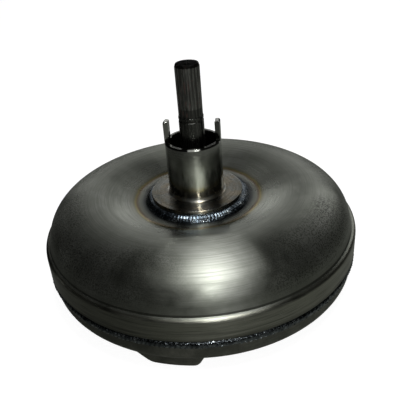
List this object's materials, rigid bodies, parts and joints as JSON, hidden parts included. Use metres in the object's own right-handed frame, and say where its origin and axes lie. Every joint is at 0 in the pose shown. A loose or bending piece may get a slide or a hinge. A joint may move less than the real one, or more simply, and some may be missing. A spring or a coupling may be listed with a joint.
{
  "type": "torque converter",
  "caption": "Welded torque converter: domed impeller casing with a tanged drive hub, a splined input shaft standing in it, and a turbine, stator and one-way clutch inside.",
  "frame": {"origin": "on the axis of rotation, in the plane of the three mounting pads that the converter rests on", "axes": "+Z along the axis towards the drive hub and the splined shaft; +X and +Y lie in the pad plane"},
  "size_m": [0.3, 0.3, 0.211],
  "materials": {
    "cover_steel": "matt dark as-pressed steel",
    "shell_steel": "spun raw steel with a thin oil film",
    "ground_steel": "ground and polished",
    "turned_steel": "fine turned",
    "weld": "dark glossy weld bead",
    "plated_steel": "bright zinc plated",
    "bronze": "turned bronze",
    "sheet_steel": "copper brazed sheet",
    "bearing_steel": "ground and lapped",
    "forged_steel": "machined forging",
    "thrust_plastic": "moulded phenolic",
    "shaft_steel": "dark induction hardened steel",
    "cast_aluminium": "die cast",
    "plate_aluminium": "turned",
    "spring_steel": "rolled strip",
    "cage_steel": "stamped strip"
  },
  "bodies": {
    "housing": {"front_cover": "cover_steel", "mounting_inserts": "plated_steel", "crank_pilot": "turned_steel", "pilot_weld": "weld", "pilot_bush": "bronze", "impeller_shell": "shell_steel", "rim_weld": "weld", "impeller_hub": "ground_steel", "hub_weld": "weld", "impeller_core_ring": "sheet_steel", "impeller_blades": "sheet_steel", "rear_bearing_race": "bearing_steel"},
    "turbine": {"turbine_shell": "sheet_steel", "turbine_core_ring": "sheet_steel", "turbine_blades": "sheet_steel", "turbine_hub": "forged_steel", "turbine_rivets": "plated_steel", "turbine_thrust_washer": "thrust_plastic", "front_bearing_race": "bearing_steel"},
    "shaft": {"input_shaft": "shaft_steel"},
    "stator": {"stator_wheel": "cast_aluminium", "clutch_cam": "bearing_steel", "clutch_rollers": "bearing_steel", "clutch_springs": "spring_steel", "clutch_front_plate": "plate_aluminium", "clutch_rear_plate": "plate_aluminium"},
    "inner_race": {"clutch_inner_race": "bearing_steel"},
    "front_bearing": {"front_bearing_cage": "cage_steel", "front_bearing_needles": "bearing_steel"},
    "rear_bearing": {"rear_bearing_cage": "cage_steel", "rear_bearing_needles": "bearing_steel"}
  },
  "joints": [
    {"name": "turbine_spin", "type": "hinge", "parent": "housing", "child": "turbine", "pos_m": [0, 0, 0.03], "axis": [0, 0, 1], "continuous": true},
    {"name": "shaft_draw", "type": "slide", "parent": "turbine", "child": "shaft", "axis": [0, 0, 1], "range_m": [0, 0.06]},
    {"name": "stator_spin", "type": "hinge", "parent": "housing", "child": "stator", "pos_m": [0, 0, 0.051], "axis": [0, 0, 1], "continuous": true},
    {"name": "inner_race_spin", "type": "hinge", "parent": "stator", "child": "inner_race", "pos_m": [0, 0, 0.051], "axis": [0, 0, 1], "continuous": true},
    {"name": "rear_bearing_spin", "type": "hinge", "parent": "housing", "child": "rear_bearing", "pos_m": [0, 0, 0.0665], "axis": [0, 0, 1], "continuous": true},
    {"name": "front_bearing_spin", "type": "hinge", "parent": "housing", "child": "front_bearing", "pos_m": [0, 0, 0.0355], "axis": [0, 0, 1], "continuous": true}
  ],
  "couplings": [
    {"joint": "rear_bearing_spin", "follows": "stator_spin", "ratio": 0.5}
  ]
}
